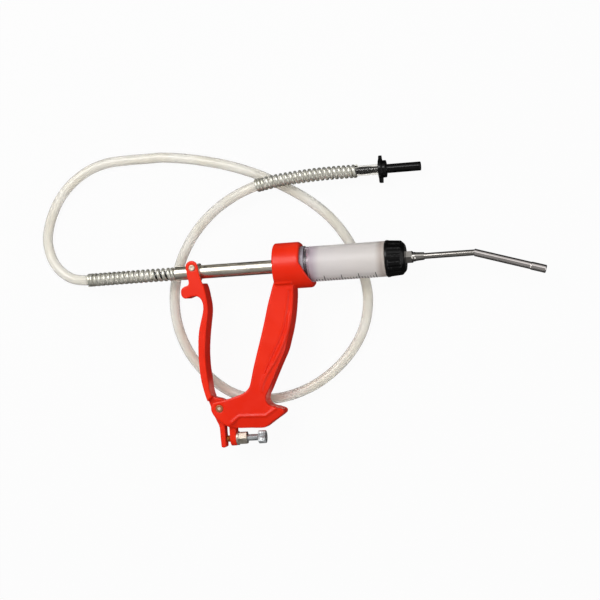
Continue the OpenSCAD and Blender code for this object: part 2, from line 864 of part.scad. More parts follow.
module outlet_valve_spring() {
    x = cap_inner_x + lip_t + valve_t;
    wound_x("outlet_valve_spring", x, chamber_end_x, 1.9, valve_wire, 4);
}

// Dose screw

module dose_screw() {
    head_end = screw_head_x + screw_head_len;
    knurls = 24;
    color("silver")
    placed()
    translate([0, screw_y, 0])
        difference() {
            union() {
                turned_x([
                    [screw_tip_x, 0], [screw_tip_x, screw_d / 2 - 0.8], [screw_tip_x + 0.8, screw_d / 2],
                    [screw_head_x + 0.5, screw_d / 2], [screw_head_x + 0.5, 0]
                ]);
                turned_x([
                    [screw_head_x, 0], [screw_head_x, screw_head_d / 2 - 0.6],
                    [screw_head_x + 0.6, screw_head_d / 2], [head_end - 0.6, screw_head_d / 2],
                    [head_end, screw_head_d / 2 - 0.6], [head_end, 0]
                ]);
            }
            for (i = [1:knurls])
                rotate([360 * i / knurls, 0, 0])
                    translate([0, screw_head_d / 2 + 0.25, 0])
                        bar_x(0.5, screw_head_x - 1, head_end + 1);
        }
}

module dose_lock_nut() {
    color("silver")
    placed()
    translate([0, screw_y, 0])
        difference() {
            intersection() {
                hex_x_bar(nut_flats, nut_x, nut_x + nut_t);
                turned_x([
                    [nut_x, 0], [nut_x, nut_flats / 2 + 0.1], [nut_x + 0.5, nut_flats],
                    [nut_x + nut_t - 0.5, nut_flats], [nut_x + nut_t, nut_flats / 2 + 0.1],
                    [nut_x + nut_t, 0]
                ]);
            }
            bar_x(screw_d / 2 + run_gap, nut_x - 1, nut_x + nut_t + 1);
        }
}

module dose_washer() {
    color("silver")
    placed()
    translate([0, screw_y, 0])
        difference() {
            bar_x(nut_flats / 2 + 0.9, washer_x, nut_x);
            bar_x(screw_d / 2 + run_gap, washer_x - 1, nut_x + 1);
        }
}

// Hose and what is on it

module hose_nipple() {
    barb = 0.35;
    pitch = 5;
    color("silver")
    placed()
    difference() {
        union() {
            bar_x(rod_bore / 2 - seat_gap, rod_rear_x, rod_rear_x + 8);
            bar_x(nipple_r - barb, nipple_rear_x, rod_rear_x + 0.5);
            for (x = [nipple_rear_x:pitch:rod_rear_x - pitch])
                turned_x([[x, 0], [x, nipple_r - barb], [x + 2.4, nipple_r], [x + 3, nipple_r], [x + 3, 0]]);
        }
        bar_x(1.6, nipple_rear_x - 1, rod_rear_x + 9);
    }
}

module rear_spring_guard() {
    color("silver")
    placed()
    spring("rear_spring_guard", concat([[rod_rear_x - 1, 0, 0]], [for (i = [1:5]) tail_route[i]]), 5,
        guard_r, guard_wire, guard_turns);
}

module hose_tail() {
    color("honeydew", 0.6)
    placed()
    hose(tail_route);
}

module hose_bend() {
    color("honeydew", 0.6)
    placed()
    hose(bend_route);
}

module hose_loop() {
    color("honeydew", 0.6)
    placed()
    hose(concat([for (i = [0:len(loop_route) - 2]) loop_route[i]], guard_route));
}

module front_spring_guard() {
    color("silver")
    placed()
    spring("front_spring_guard", guard_route, front_guard_end, guard_r, guard_wire,
        front_guard_turns);
}

module hose_connector() {
    lug_half = 3;
    boss_x = flange_x + flange_t;
    spigot_x = boss_x + boss_len;
    end_x = spigot_x + spigot_len;
    color("black")
    placed()
    translate([0, connector_y, connector_z])
        difference() {
            union() {
                bar_x(nipple_r, flange_x - hose_grip, flange_x + 0.5);
                bar_x(flange_d / 2, flange_x, boss_x);
                translate([flange_x, 0, 0])
                    rotate([90, 0, 90])
                        linear_extrude(height = flange_t)
                            polygon([
                                [-flange_lug, -lug_half], [-flange_lug, lug_half], [0, flange_d / 2.4],
                                [flange_lug, 0.6], [flange_lug, -0.6], [0, -flange_d / 2.4]
                            ]);
                bar_x(boss_d / 2, boss_x - 0.5, spigot_x);
                bar_x(spigot_d / 2, spigot_x - 0.5, end_x);
            }
            bar_x(1.8, flange_x - hose_grip - 1, end_x + 1);
        }
}

handle();
rod_bush();
barrel();
barrel_ring();
barrel_gasket();
lever();
lever_pivot_pin();
lever_push_pin();
plunger_rod();
push_collars();
piston();
piston_seal();
piston_nut();
inlet_valve();
inlet_valve_spring();
return_spring();
front_cap();
cap_seal();
nozzle_base();
nozzle_tube();
nozzle_spout();
nozzle_tip();
outlet_valve();
outlet_valve_spring();
dose_screw();
dose_lock_nut();
dose_washer();
hose_nipple();
rear_spring_guard();
hose_tail();
hose_bend();
hose_loop();
front_spring_guard();
hose_connector();
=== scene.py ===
import math

import bmesh
import bpy
from mathutils import Matrix, Vector


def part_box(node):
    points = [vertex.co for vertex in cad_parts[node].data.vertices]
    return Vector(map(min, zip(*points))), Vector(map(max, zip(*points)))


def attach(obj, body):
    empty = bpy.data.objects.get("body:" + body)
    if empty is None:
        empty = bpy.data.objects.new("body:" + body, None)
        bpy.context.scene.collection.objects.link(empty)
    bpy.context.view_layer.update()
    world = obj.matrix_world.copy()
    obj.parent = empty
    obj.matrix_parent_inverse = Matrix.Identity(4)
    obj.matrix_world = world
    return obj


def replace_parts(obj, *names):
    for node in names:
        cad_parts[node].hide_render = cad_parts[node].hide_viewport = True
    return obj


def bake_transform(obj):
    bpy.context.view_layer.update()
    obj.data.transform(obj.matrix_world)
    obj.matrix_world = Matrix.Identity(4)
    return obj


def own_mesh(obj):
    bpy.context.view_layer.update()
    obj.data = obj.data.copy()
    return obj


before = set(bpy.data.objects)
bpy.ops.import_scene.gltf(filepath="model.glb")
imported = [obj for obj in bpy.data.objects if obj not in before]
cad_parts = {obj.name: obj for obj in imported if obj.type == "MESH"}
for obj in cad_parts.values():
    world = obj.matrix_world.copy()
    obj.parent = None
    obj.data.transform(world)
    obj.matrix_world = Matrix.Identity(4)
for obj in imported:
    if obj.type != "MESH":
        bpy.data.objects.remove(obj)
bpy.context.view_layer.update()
scene = bpy.context.scene

# The view: the gun lies on its side on a white table and is seen from above through a long lens, from a
# little beyond its nozzle. Places are millimetres from the barrel's axis, at the step in front of the collar.
BARREL_REAR = -8.0
barrel_low, barrel_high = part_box("barrel")
drawing = Vector((barrel_low.x - BARREL_REAR / 1000, (barrel_low.y + barrel_high.y) / 2, 0))


def at(x, y, z=0.0):
    """A place on the gun's drawing, in the row's metres."""
    return drawing + Vector((x, y, z)) / 1000


CAMERA_AWAY = 1.5
CAMERA_LENS = 106.7
CAMERA_SENSOR = 36
CAMERA_LEAN = math.radians(10.7)
CAMERA_ROLL = math.radians(3.9)
looked_at = at(-2.1, -29.5)
back = Vector((math.sin(CAMERA_LEAN), 0, math.cos(CAMERA_LEAN)))
level = Vector((math.cos(CAMERA_LEAN), 0, -math.sin(CAMERA_LEAN)))
right = level * math.cos(CAMERA_ROLL) - Vector((0, 1, 0)) * math.sin(CAMERA_ROLL)
camera = bpy.data.objects.new("camera", bpy.data.cameras.new("camera"))
camera.data.sensor_width = CAMERA_SENSOR
camera.data.lens = CAMERA_LENS
scene.collection.objects.link(camera)
turned = Matrix((right, back.cross(right), back)).transposed().to_4x4()
camera.matrix_world = Matrix.Translation(looked_at + CAMERA_AWAY * back) @ turned
scene.camera = camera
scene.view_settings.view_transform = "Standard"

# The studio: a white room that the camera, metal and clear plastic see as plain white, with a large soft
# lamp to the upper left, a weaker one to the lower right and grey cards that only polished surfaces mirror.
SOFT_LIGHT = 0.42


def seen_directly(tree, lit, mirrored):
    """How far rays from the camera, clear plastic (lit) and polished metal (mirrored) see plain white."""
    path = tree.nodes.new("ShaderNodeLightPath")
    total = None
    for ray, share in (("Is Camera Ray", lit), ("Is Transmission Ray", lit), ("Is Glossy Ray", mirrored)):
        part = tree.nodes.new("ShaderNodeMath")
        part.operation = "MULTIPLY"
        part.inputs[1].default_value = share
        tree.links.new(path.outputs[ray], part.inputs[0])
        if total:
            either = tree.nodes.new("ShaderNodeMath")
            either.operation = "MAXIMUM"
            tree.links.new(total, either.inputs[0])
            tree.links.new(part.outputs["Value"], either.inputs[1])
            part = either
        total = part.outputs["Value"]
    return total


def mixed(tree, amount, one, other, output):
    """Two shaders mixed by an amount, into the tree's output."""
    mix = tree.nodes.new("ShaderNodeMixShader")
    tree.links.new(amount, mix.inputs["Fac"])
    tree.links.new(one, mix.inputs[1])
    tree.links.new(other, mix.inputs[2])
    tree.links.new(mix.outputs["Shader"], tree.nodes[output].inputs["Surface"])


world = bpy.data.worlds.new("studio")
world.use_nodes = True
scene.world = world
room = world.node_tree
soft = room.nodes["Background"]
soft.inputs["Color"].default_value = (1, 1, 1, 1)
soft.inputs["Strength"].default_value = SOFT_LIGHT
white = room.nodes.new("ShaderNodeBackground")
white.inputs["Color"].default_value = (1, 1, 1, 1)
mixed(room, seen_directly(room, 1, 1), soft.outputs["Background"], white.outputs["Background"],
      "World Output")

LAMP_SIZE = 0.9
lamps_aim = at(0, -40)


def lamp(name, place, power):
    """A square soft lamp that faces the middle of the gun."""
    light = bpy.data.objects.new(name, bpy.data.lights.new(name, "AREA"))
    light.data.size = LAMP_SIZE
    light.data.energy = power
    scene.collection.objects.link(light)
    facing = (lamps_aim - place).to_track_quat("-Z", "Y").to_matrix().to_4x4()
    light.matrix_world = Matrix.Translation(place) @ facing


lamp("key_lamp", at(-550, 620, 1150), 15)
lamp("fill_lamp", at(800, -500, 900), 4)

FLOOR_Z = -24.1
FLOOR_HALF = 3
floor = bpy.data.objects.new("floor", bpy.data.meshes.new("floor"))
sheet = bmesh.new()
bmesh.ops.create_grid(sheet, x_segments=1, y_segments=1, size=FLOOR_HALF)
bmesh.ops.translate(sheet, verts=sheet.verts, vec=at(0, 0, FLOOR_Z))
sheet.to_mesh(floor.data)
sheet.free()
scene.collection.objects.link(floor)
paper = bpy.data.materials.new("white_paper")
paper.use_nodes = True
tree = paper.node_tree
matt = tree.nodes["Principled BSDF"]
matt.inputs["Base Color"].default_value = (0.5, 0.5, 0.5, 1)
matt.inputs["Roughness"].default_value = 0.9
matt.inputs["Specular IOR Level"].default_value = 0.1
glow = tree.nodes.new("ShaderNodeEmission")
mixed(tree, seen_directly(tree, 0.95, 0.1), matt.outputs["BSDF"], glow.outputs["Emission"], "Material Output")
floor.data.materials.append(paper)

CARD_HALF = 1500
CARD_UP = 1300
CARD_DOWN = -1300
TABLE_HALF = 900
TABLE_Z = FLOOR_Z + 0.05


def card(name, grey, half, low, high):
    """A grey card that only polished surfaces mirror, from one edge to another, each given as (y, z)."""
    shape = bmesh.new()
    corners = [(-half, *low), (half, *low), (half, *high), (-half, *high)]
    shape.faces.new([shape.verts.new(at(*corner)) for corner in corners])
    panel = bpy.data.objects.new(name, bpy.data.meshes.new(name))
    shape.to_mesh(panel.data)
    shape.free()
    scene.collection.objects.link(panel)
    panel.visible_camera = panel.visible_diffuse = panel.visible_transmission = panel.visible_shadow = False
    colour = bpy.data.materials.new(name)
    colour.use_nodes = True
    nodes, links = colour.node_tree.nodes, colour.node_tree.links
    flat = nodes.new("ShaderNodeEmission")
    flat.inputs["Color"].default_value = (grey, grey, grey, 1)
    links.new(flat.outputs["Emission"], nodes["Material Output"].inputs["Surface"])
    panel.data.materials.append(colour)


card("ceiling_card", 0.24, CARD_HALF, (CARD_DOWN, 1000), (260, 1000))
card("lower_card", 0.1, CARD_HALF, (CARD_DOWN, -20), (CARD_DOWN, 980))
card("table_card", 0.03, TABLE_HALF, (-TABLE_HALF, TABLE_Z), (TABLE_HALF, TABLE_Z))
card("upper_card", 0.04, CARD_HALF, (CARD_UP, -20), (CARD_UP, 420))
card("grey_card", 0.45, CARD_HALF, (CARD_UP, 420), (CARD_UP, 1300))
card("pale_card", 0.75, CARD_HALF, (CARD_UP, 1300), (CARD_UP, 2600))

# The hose: cloudy clear PVC tube, 8.6 mm outside and 5.9 inside, pushed over the nipple in the rod's end and
# over the connector's tail. It comes down to the table, goes round and lies in one loop under the gun.
HOSE_R = 0.0043
HOSE_WALL = 0.00135
HOSE_SIDES = 20
HELD_LEN = 0.024
LIE_Z = -19.76
CONNECTOR_Y = 76
CONNECTOR_Z = -13.9
FLANGE_X = 70.5
rod_rear = (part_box("plunger_rod")[0].x - drawing.x) * 1000
tail_route = [
    (rod_rear - 0.2, 0, 0), (-129.5, 0, 0), (-143, 0, -0.8), (-157.5, 0, -2.8), (-173, 0, -6), (-189, 0, -10),
]
bend_route = [
    (-203.5, 2.1, -13.5), (-214, 8.2, -15.9), (-221.8, 17.5, -18), (-226, 28.9, -19.4), (-226.6, 41, LIE_Z),
    (-222.5, 55.8, LIE_Z), (-214, 72, LIE_Z), (-201.7, 85.4, LIE_Z), (-186.3, 95.3, LIE_Z),
    (-168.9, 100.7, LIE_Z), (-151, 101.8, LIE_Z), (-134, 101.8, LIE_Z), (-127.1, 101.8, LIE_Z),
]
loop_flat = [
    (-127, 101.8), (-120, 101.8), (-107, 100.4), (-88.4, 97.2), (-62.4, 90.6), (-36.5, 80.9), (-12.9, 68.4),
    (7.6, 54.9), (24.9, 39.1), (37.5, 21.5), (46.1, 2.9), (51.4, -15.5), (52.8, -34), (48.6, -54),
    (39.1, -71.5), (24.9, -87.1), (6.5, -100.3), (-12.9, -108.5), (-31.4, -112.1), (-51, -111.3),
    (-70.7, -105), (-89.4, -90.6), (-104.1, -71.7), (-112.5, -52.4), (-116, -33.1), (-115, -12.7),
    (-108.9, 8.7), (-98.8, 27.4),
]
loop_rise = [(-85.5, 43, -18.4), (-69.5, 55.2, -14.8), (-52.2, 64.1, -11.2)]
guard_route = [
    (-34.3, 70.2, -9), (-16.8, 72.9, -8.4), (0.4, 74.5, -9), (17.4, 75.6, -10.4), (34.4, 76, -12.6),
    (51.4, CONNECTOR_Y, CONNECTOR_Z), (FLANGE_X - 0.2, CONNECTOR_Y, CONNECTOR_Z),
]


def smooth_way(points, steps=10):
    """Points on a smooth line through the given places of the drawing, that many to each stretch."""
    points = [at(*p) for p in points]
    line = [2 * points[0] - points[1], *points, 2 * points[-1] - points[-2]]
    way = []
    for before, a, b, after in zip(line, line[1:], line[2:], line[3:]):
        for step in range(steps):
            t = step / steps
            way.append(a + 0.5 * ((b - before) * t + (2 * before - 5 * a + 4 * b - after) * t**2
                                  + (3 * a - before - 3 * b + after) * t**3))
    return [*way, points[-1]]


def drawn(way, radius, sides):
    """A round bar drawn along a way, open at its ends, as a bmesh."""
    curve = bpy.data.curves.new("way", "CURVE")
    curve.dimensions = "3D"
    curve.bevel_depth = radius
    curve.bevel_resolution = sides // 2 - 2
    spline = curve.splines.new("POLY")
    spline.points.add(len(way) - 1)
    for point, place in zip(spline.points, way):
        point.co = (*place, 1)
    holder = bpy.data.objects.new("way", curve)
    mesh = bpy.data.meshes.new_from_object(holder)
    shape = bmesh.new()
    shape.from_mesh(mesh)
    bmesh.ops.remove_doubles(shape, verts=shape.verts, dist=1e-7)
    bmesh.ops.recalc_face_normals(shape, faces=shape.faces)
    bpy.data.objects.remove(holder)
    bpy.data.curves.remove(curve)
    bpy.data.meshes.remove(mesh)
    return shape


def made(name, shape, material, slot, *nodes, sharp=40):
    """A finished shape as a piece of the part, in the place of the CAD nodes it stands for."""
    mesh = bpy.data.meshes.new(name)
    shape.to_mesh(mesh)
    shape.free()
    mesh.materials.append(material)
    mesh.shade_smooth()
    mesh.set_sharp_from_angle(angle=math.radians(sharp))
    piece = bpy.data.objects.new(name, mesh)
    scene.collection.objects.link(piece)
    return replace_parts(piece, *nodes) if nodes else piece


def finish(name, colour, **sockets):
    """A material and its shader, with the sockets set that are the same all over."""
    material = bpy.data.materials.new(name)
    material.use_nodes = True
    shader = material.node_tree.nodes["Principled BSDF"]
    shader.inputs["Base Color"].default_value = (*colour, 1)
    for socket, value in sockets.items():
        shader.inputs[socket.replace("_", " ")].default_value = value
    return material, shader


def grain(material, per_metre, detail=4, stretch=(1, 1, 1)):
    """Noise on the piece's own coordinates, that many marks to the metre."""
    nodes, links = material.node_tree.nodes, material.node_tree.links
    place = nodes.new("ShaderNodeTexCoord")
    scale = nodes.new("ShaderNodeMapping")
    scale.inputs["Scale"].default_value = stretch
    noise = nodes.new("ShaderNodeTexNoise")
    noise.inputs["Scale"].default_value = per_metre
    noise.inputs["Detail"].default_value = detail
    links.new(place.outputs["Object"], scale.inputs["Vector"])
    links.new(scale.outputs["Vector"], noise.inputs["Vector"])
    return noise.outputs["Fac"]


def ranged(material, amount, start, end, low=0.0, high=1.0):
    """An amount between start and end, as one between low and high."""
    reach = material.node_tree.nodes.new("ShaderNodeMapRange")
    for socket, value in (("From Min", start), ("From Max", end), ("To Min", low), ("To Max", high)):
        reach.inputs[socket].default_value = value
    material.node_tree.links.new(amount, reach.inputs["Value"])
    return reach.outputs["Result"]


def coloured(material, shader, amount, *stops):
    """A base colour that an amount leads through stops of (place, colour)."""
    ramp = material.node_tree.nodes.new("ShaderNodeValToRGB")
    while len(ramp.color_ramp.elements) < len(stops):
        ramp.color_ramp.elements.new(0.5)
    for stop, (place, colour) in zip(ramp.color_ramp.elements, stops):
        stop.position = place
        stop.color = (*colour, 1)
    material.node_tree.links.new(amount, ramp.inputs["Fac"])
    material.node_tree.links.new(ramp.outputs["Color"], shader.inputs["Base Color"])


NOISE_LOW = 0.35
NOISE_HIGH = 0.65


def vary(material, shader, socket, amount, low, high):
    """A socket that goes from low to high with an amount of noise."""
    spread = ranged(material, amount, NOISE_LOW, NOISE_HIGH, low, high)
    material.node_tree.links.new(spread, shader.inputs[socket])


def mottled(name, colour, tints, gloss, **sockets):
    """A material whose colour and roughness vary: tints and gloss are low, high and what grain() takes."""
    material, shader = finish(name, colour, **sockets)
    dull, bright, *marks = tints
    coloured(material, shader, grain(material, *marks), (NOISE_LOW, dull), (NOISE_HIGH, bright))
    smooth, rough, *marks = gloss
    vary(material, shader, "Roughness", grain(material, *marks), smooth, rough)
    return material, shader


def relief(material, shader, amount, depth, strength):
    """Fine relief of a depth in metres, from an amount of noise."""
    bump = material.node_tree.nodes.new("ShaderNodeBump")
    bump.inputs["Distance"].default_value = depth
    bump.inputs["Strength"].default_value = strength
    material.node_tree.links.new(amount, bump.inputs["Height"])
    material.node_tree.links.new(bump.outputs["Normal"], shader.inputs["Normal"])


clear_pvc, shader = mottled("clear_pvc", (0.95, 0.93, 0.86), ((0.93, 0.9, 0.82), (0.97, 0.95, 0.9), 45),
                            (0.1, 0.18, 90), IOR=1.42)
relief(clear_pvc, shader, grain(clear_pvc, 120, 2), 0.0002, 0.15)
tight = clear_pvc.node_tree.nodes.new("ShaderNodeAttribute")
tight.attribute_name = "stretched"
vary(clear_pvc, shader, "Transmission Weight", tight.outputs["Fac"], 0.6, 1.0)


def hose(name, way, held, *nodes):
    """A length of hose, clearer where it is stretched over what it is held on."""
    shape = drawn(way, HOSE_R, HOSE_SIDES)
    bmesh.ops.solidify(shape, geom=shape.faces[:], thickness=HOSE_WALL)
    stretched = shape.verts.layers.float.new("stretched")
    for vert in shape.verts:
        vert[stretched] = (vert.co - held).length < HELD_LEN
    return made(name, shape, clear_pvc, "clear_hose", *nodes)


tail_way = smooth_way([*tail_route, *bend_route])
loop_way = smooth_way([*((x, y, LIE_Z) for x, y in loop_flat), *loop_rise, *guard_route])
hose_rear = hose("hose_rear", tail_way, tail_way[0], "hose_tail", "hose_bend")
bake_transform(hose_rear)
hose_loop = hose("hose_loop_tube", loop_way, loop_way[-1], "hose_loop")
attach(hose_loop, "gun")

# The spring guards: flattened steel wire wound open on the hose, with its last turns closed up, that keep the
# hose from kinking where it leaves the rod and where it enters the connector.
GUARD_R = 0.0051
GUARD_WIDE = 0.0013
GUARD_FLAT = 0.5
CLOSED_UP = 2.05
FRONT_GUARD_POINTS = 51


def wound(way, radius, turns, closed_start, closed_end, pitch, steps=24):
    """A way wound round another, open in the middle and closed up at its ends."""
    lengths = [0.0]
    for a, b in zip(way, way[1:]):
        lengths.append(lengths[-1] + (b - a).length)
    open_turns = turns - closed_start - closed_end
    open_pitch = (lengths[-1] - (closed_start + closed_end) * pitch) / open_turns
    points, middles, k = [], [], 0
    for step in range(turns * steps + 1):
        turn = step / steps
        gone = (min(turn, closed_start) + max(0, turn - turns + closed_end)) * pitch
        gone += max(0, min(turn, turns - closed_end) - closed_start) * open_pitch
        while k < len(lengths) - 2 and lengths[k + 1] < gone:
            k += 1
        ahead = way[k + 1] - way[k]
        middle = way[k] + ahead * ((gone - lengths[k]) / ahead.length)
        side = Vector((0, 0, 1)).cross(ahead).normalized()
        upright = ahead.cross(side).normalized()
        angle = 2 * math.pi * turn
        points.append(middle + radius * (side * math.cos(angle) + upright * math.sin(angle)))
        middles.append(middle)
    return points, middles


def wire(way, radius, sides=10):
    """Round wire along a way, with closed ends."""
    shape = drawn(way, radius, sides)
    bmesh.ops.holes_fill(shape, edges=shape.edges[:])
    bmesh.ops.recalc_face_normals(shape, faces=shape.faces)
    return shape


spring_steel, shader = mottled("spring_steel", (0.6, 0.59, 0.52),
                               ((0.52, 0.51, 0.43), (0.66, 0.65, 0.58), 220), (0.32, 0.45, 700),
                               Metallic=0.75)


def guard(name, node, way, turns, closed_start, closed_end):
    """A wire wound on the hose and pressed flat towards its middle."""
    points, middles = wound(way, GUARD_R, turns, closed_start, closed_end, CLOSED_UP * GUARD_WIDE)
    shape = wire(points, GUARD_WIDE)
    sides = len(shape.verts) // len(points)
    for i, vert in enumerate(shape.verts):
        point = points[i // sides]
        out = (point - middles[i // sides]).normalized()
        vert.co -= out * (vert.co - point).dot(out) * GUARD_FLAT
    return made(name, shape, spring_steel, "spring_wire", node)


rear_way = smooth_way([(rod_rear - 1.5, 0, 0), *tail_route[1:]])
rear_guard = guard("rear_guard", "rear_spring_guard", rear_way, 19, 1, 2)
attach(rear_guard, "plunger")
front_way = smooth_way(guard_route)[:FRONT_GUARD_POINTS]
front_guard = guard("front_guard", "front_spring_guard", front_way, 22, 2, 1)
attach(front_guard, "gun")

# The hose's end: a black moulded connector with a flange for the fingers, two lugs and a bare spigot for the
# container's outlet, pushed into the hose up to the flange.
black_nylon, shader = mottled("black_nylon", (0.003, 0.003, 0.003),
                              ((0.0015, 0.0015, 0.0015), (0.004, 0.004, 0.004), 150),
                              (0.12, 0.2, 500), Specular_IOR_Level=0.27)
relief(black_nylon, shader, grain(black_nylon, 2600), 0.00004, 0.6)


def eased(node, *added, voxel, rounds):
    """A node's faces joined, remade in fine even faces and eased, which rounds its edges as a mould does."""
    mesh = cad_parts[node].data.copy()
    shape = bmesh.new()
    shape.from_mesh(mesh)
    bmesh.ops.remove_doubles(shape, verts=shape.verts, dist=1e-6)
    for extra in added:
        extra.to_mesh(mesh)
        extra.free()
        shape.from_mesh(mesh)
    shape.to_mesh(mesh)
    shape.free()
    rough = bpy.data.objects.new(node + "_rough", mesh)
    scene.collection.objects.link(rough)
    remesh = rough.modifiers.new("even_faces", "REMESH")
    remesh.mode = "VOXEL"
    remesh.voxel_size = voxel
    bpy.context.view_layer.update()
    even = bpy.data.meshes.new_from_object(rough.evaluated_get(bpy.context.evaluated_depsgraph_get()))
    bpy.data.objects.remove(rough)
    shape = bmesh.new()
    shape.from_mesh(even)
    bpy.data.meshes.remove(even)
    for _ in range(rounds):
        bmesh.ops.smooth_vert(shape, verts=shape.verts, factor=0.5, use_axis_x=True, use_axis_y=True,
                              use_axis_z=True)
    return shape


connector = made("connector", eased("hose_connector", voxel=0.0003, rounds=5), black_nylon, "black_plastic",
                 "hose_connector", sharp=180)
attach(connector, "gun")

# The handle and the lever: aluminium castings under thick, glossy orange-red enamel, with soft edges, raised
# lines and a little of the casting's waviness. The pivot pin joins the lever's tongue to the handle's clevis.
CREST = [(-66.3, -129.5), (-58.8, -123.8), (-35.8, -124.6), (-26.1, -118.3)]
CREST_R = 0.0011
CREST_Z = 11.3
BEAD = [(-20.2, -14.2), (-5.8, -14.2)]
BEAD_R = 0.0012
BEAD_Z = 13.4
RIDGE = [
    (-9.8, -40, 10.4), (-10.8, -47.2, 11.3), (-13.1, -55.6, 11.8), (-17.8, -66.7, 11.9), (-23.4, -76.9, 11.9),
    (-29.9, -86, 11.9), (-34.2, -92.5, 11.8), (-37.1, -99, 11.5), (-38, -104.7, 10.6),
]
RIDGE_R = 0.0014
RIDGE_STEPS = 6
red_enamel, shader = mottled("red_enamel", (0.78, 0.018, 0.001),
                             ((0.75, 0.015, 0.0005), (0.81, 0.022, 0.002), 32), (0.28, 0.38, 120),
                             Coat_Weight=0.1, Coat_Roughness=0.12, Specular_IOR_Level=0.2)
relief(red_enamel, shader, grain(red_enamel, 300, 2), 0.00015, 0.2)
crests = [wire([at(x, y, side * CREST_Z) for x, y in CREST], CREST_R) for side in (-1, 1)]
beads = [wire([at(x, y, side * BEAD_Z) for x, y in BEAD], BEAD_R) for side in (-1, 1)]
ridge_ways = [smooth_way([(x, y, side * z) for x, y, z in RIDGE], RIDGE_STEPS) for side in (-1, 1)]
ridges = [wire(way, RIDGE_R) for way in ridge_ways]
handle = made("handle_casting", eased("handle", *crests, *beads, *ridges, voxel=0.00055, rounds=6),
              red_enamel, "red_enamel", "handle", sharp=180)
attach(handle, "gun")
lever = made("lever_casting", eased("lever", voxel=0.00045, rounds=7), red_enamel, "red_enamel", "lever",
             sharp=180)
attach(lever, "squeeze_lever")

# The pins: turned steel, plated, with riveted heads that are a little dished. One is the lever's pivot, the
# other stands out of the lever's ear and pushes the collars on the rod.
WORN_EDGE = 0.0003


def spun(profile, centre, axis, steps=40):
    """A turned shape: a profile of (radius, place) in millimetres spun round an axis through a centre."""
    shape = bmesh.new()
    axis = Vector(axis)
    out = axis.orthogonal().normalized()
    ring = [shape.verts.new(centre + (out * r + axis * place) / 1000) for r, place in profile]
    edges = [shape.edges.new(pair) for pair in zip(ring, ring[1:])]
    bmesh.ops.spin(shape, geom=[*ring, *edges], cent=centre, axis=axis, angle=2 * math.pi, steps=steps,
                   use_merge=True)
    bmesh.ops.remove_doubles(shape, verts=shape.verts, dist=1e-6)
    bmesh.ops.recalc_face_normals(shape, faces=shape.faces)
    return shape


def middle_of(node):
    """The middle of a node's box."""
    low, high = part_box(node)
    return (low + high) / 2


def half_length(node):
    """Half a pin's length, in millimetres."""
    low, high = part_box(node)
    return (high.z - low.z) * 500


def pin_finish(name, node, worn):
    """Dull zinc, with a paler middle of that radius on the pin's ends."""
    material, shader = finish(name, (0.5, 0.42, 0.33), Metallic=0.5)
    nodes, links = material.node_tree.nodes, material.node_tree.links
    place = nodes.new("ShaderNodeTexCoord")
    flat = nodes.new("ShaderNodeMapping")
    middle = middle_of(node)
    flat.inputs["Location"].default_value = (-middle.x, -middle.y, 0)
    flat.inputs["Scale"].default_value = (1, 1, 0)
    off = nodes.new("ShaderNodeVectorMath")
    off.operation = "LENGTH"
    links.new(place.outputs["Object"], flat.inputs["Vector"])
    links.new(flat.outputs["Vector"], off.inputs[0])
    edge = ranged(material, off.outputs["Value"], worn - WORN_EDGE, worn + WORN_EDGE)
    coloured(material, shader, edge, (0, (0.64, 0.53, 0.42)), (1, (0.42, 0.15, 0.06)))
    vary(material, shader, "Roughness", grain(material, 900), 0.4, 0.6)
    return material


half = half_length("lever_pivot_pin")
head = [(0, half - 0.1), (1.3, half - 0.15), (1.6, half - 0.55), (2.1, half - 0.55), (2.4, half - 0.1),
        (2.9, half - 0.2), (3.2, half - 0.9), (2.8, half - 0.9)]
profile = [*head, *((r, -place) for r, place in reversed(head))]
pivot_pin = made("pivot_pin", spun(profile, middle_of("lever_pivot_pin"), (0, 0, 1)),
                 pin_finish("pivot_zinc", "lever_pivot_pin", 0.0013), "plated_steel", "lever_pivot_pin")
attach(pivot_pin, "gun")
half = half_length("lever_push_pin")
profile = [(0, half - 0.3), (1.4, half - 0.25), (1.7, half), (2.5, half - 0.1), (2.9, half - 0.9),
           (2.5, half - 0.9), (2.5, 0.4 - half), (2.1, -half), (0, -half)]
push_pin = made("push_pin", spun(profile, middle_of("lever_push_pin"), (0, 0, 1)),
                pin_finish("push_zinc", "lever_push_pin", 0.0024), "plated_steel", "lever_push_pin")
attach(push_pin, "squeeze_lever")

# The rod: a bright chromed tube that slides in the collar's brass bush, with two plated collars that the
# lever's pin pushes and the hose's nipple screwed in its rear end.
bright_chrome, shader = mottled("bright_chrome", (0.79, 0.74, 0.63),
                                ((0.74, 0.69, 0.57), (0.84, 0.79, 0.69), 90),
                                (0.26, 0.35, 400, 3, (0.15, 1, 1)), Metallic=1.0)
plated_steel, shader = mottled("plated_steel", (0.54, 0.49, 0.41),
                               ((0.46, 0.41, 0.33), (0.62, 0.57, 0.49), 260), (0.3, 0.5, 900),
                               Metallic=0.8)
relief(plated_steel, shader, grain(plated_steel, 1500), 0.00003, 0.5)
brass, shader = mottled("brass", (0.6, 0.42, 0.16), ((0.5, 0.33, 0.11), (0.68, 0.49, 0.21), 200),
                        (0.25, 0.42, 700), Metallic=1.0)


def keep(material, *nodes):
    """Nodes whose own shape is right, with a better finish."""
    for node in nodes:
        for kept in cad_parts[node].material_slots:
            kept.material = material


keep(bright_chrome, "plunger_rod")
keep(plated_steel, "push_collars")
keep(black_nylon, "hose_nipple")
keep(brass, "rod_bush")

